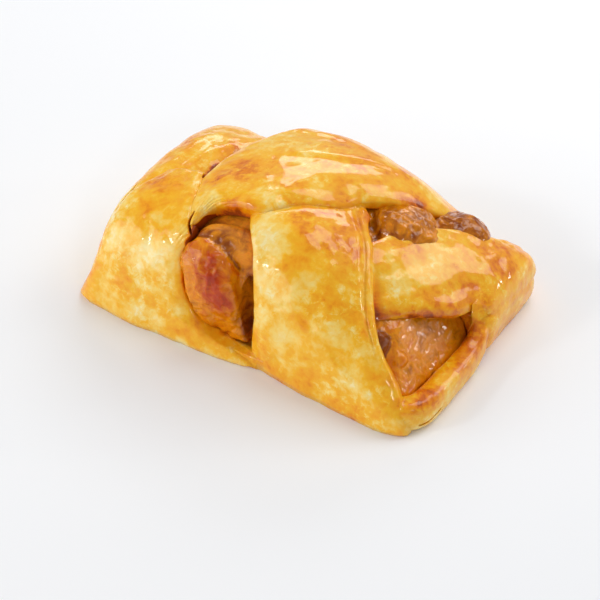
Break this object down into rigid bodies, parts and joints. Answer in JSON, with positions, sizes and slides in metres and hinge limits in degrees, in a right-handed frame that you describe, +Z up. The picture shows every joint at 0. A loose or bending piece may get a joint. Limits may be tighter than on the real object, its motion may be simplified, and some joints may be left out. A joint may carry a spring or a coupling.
{
  "type": "apple strudel",
  "caption": "Plaited puff pastry loaf with glazed strips folded over from both sides, an apple filling showing in the openings between them and at one end",
  "frame": {"origin": "middle of the flat underside, on the plane the strudel rests on", "axes": "+X along the loaf towards the end with the low rim, -Y towards the front side, +Z up"},
  "size_m": [0.1293, 0.0891, 0.0474],
  "materials": {
    "crust": "baked golden puff pastry with a shiny egg glaze",
    "apple": "wet cooked apple in amber syrup"
  },
  "bodies": {
    "root": {"pastry": "crust", "filling": "apple"}
  },
  "joints": []
}
